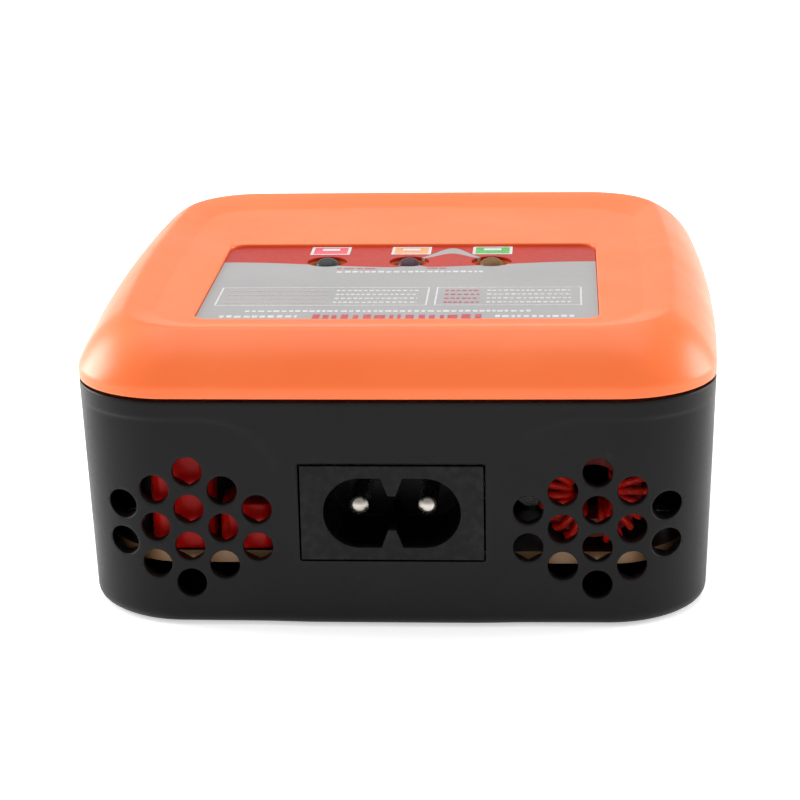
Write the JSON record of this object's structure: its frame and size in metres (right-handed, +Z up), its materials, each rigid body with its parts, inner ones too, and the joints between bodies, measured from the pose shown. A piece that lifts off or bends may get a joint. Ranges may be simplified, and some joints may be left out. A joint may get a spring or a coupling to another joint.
{
  "type": "balance battery charger",
  "caption": "Small mains-powered balance charger for model batteries: black vented case, orange lid with a window, push buttons, mains inlet behind and battery sockets in front.",
  "frame": {"origin": "centre of the base, on the surface that the charger rests on", "axes": "+Z up, -Y towards the mains inlet and the vents, +Y towards the battery sockets, +X to the right when looking at the mains inlet"},
  "size_m": [0.0826, 0.087, 0.0376],
  "materials": {
    "case_black": "satin moulded",
    "lid_orange": "satin moulded",
    "panel_print": "gloss",
    "button_cap": "satin",
    "window_red": "gloss",
    "window_amber": "gloss",
    "window_green": "gloss",
    "led_lens": "clear",
    "switch_black": "matte",
    "steel_plate": "satin",
    "board_green": "satin solder mask",
    "board_tan": "satin laminate",
    "screw_steel": "satin",
    "header_black": "matte",
    "inlet_black": "satin",
    "nickel": "polished",
    "output_yellow": "satin",
    "gold_contact": "polished",
    "nylon_white": "satin",
    "tinned_pin": "bright",
    "ferrite": "matte",
    "bobbin_black": "matte",
    "tape_red": "gloss film",
    "sleeve_blue": "gloss",
    "sleeve_black": "gloss",
    "core_green": "matte",
    "wire_red": "enamel",
    "film_red": "gloss",
    "fuse_glass": "clear",
    "tin_cap": "bright",
    "disc_green": "satin",
    "epoxy_black": "matte",
    "sink_aluminium": "mill finish",
    "core_yellow": "satin",
    "wire_copper": "enamel",
    "opto_white": "matte",
    "screw_black": "black zinc"
  },
  "bodies": {
    "case": {"lower_case": "case_black", "upper_case": "lid_orange", "panel_label": "panel_print", "light_window_left": "window_red", "light_window_middle": "window_amber", "light_window_right": "window_green", "indicator_leds": "led_lens", "switch_bodies": "switch_black", "switch_plates": "steel_plate", "button_board": "board_green", "button_board_screws": "screw_steel", "link_header": "header_black", "link_socket": "header_black", "main_board": "board_tan", "board_screws": "screw_steel", "inlet_body": "inlet_black", "inlet_pins": "nickel", "output_socket": "output_yellow", "output_contacts": "gold_contact", "balance_socket_four": "nylon_white", "balance_socket_three": "nylon_white", "balance_pins": "tinned_pin", "transformer_core": "ferrite", "transformer_bobbin": "bobbin_black", "transformer_winding": "tape_red", "mains_capacitor": "sleeve_blue", "output_capacitors": "sleeve_black", "choke_core": "core_green", "choke_windings": "wire_red", "film_capacitors": "film_red", "fuse_body": "fuse_glass", "fuse_caps": "tin_cap", "thermistor": "disc_green", "bridge_rectifier": "epoxy_black", "switch_transistor": "epoxy_black", "transistor_heat_sink": "sink_aluminium", "output_diode": "epoxy_black", "diode_heat_sink": "sink_aluminium", "inductor_core": "core_yellow", "inductor_winding": "wire_copper", "optocoupler": "opto_white", "controller_chip": "epoxy_black", "surface_parts": "epoxy_black", "case_screws": "screw_black"},
    "button_left": {"button_left": "button_cap"},
    "button_middle": {"button_middle": "button_cap"},
    "button_right": {"button_right": "button_cap"}
  },
  "joints": [
    {"name": "press_left", "type": "slide", "parent": "case", "child": "button_left", "axis": [0, 0, -1], "range_m": [0, 0.0004], "stiffness_N_per_m": 2000, "springref_m": -0.0002},
    {"name": "press_middle", "type": "slide", "parent": "case", "child": "button_middle", "axis": [0, 0, -1], "range_m": [0, 0.0004], "stiffness_N_per_m": 2000, "springref_m": -0.0002},
    {"name": "press_right", "type": "slide", "parent": "case", "child": "button_right", "axis": [0, 0, -1], "range_m": [0, 0.0004], "stiffness_N_per_m": 2000, "springref_m": -0.0002}
  ]
}
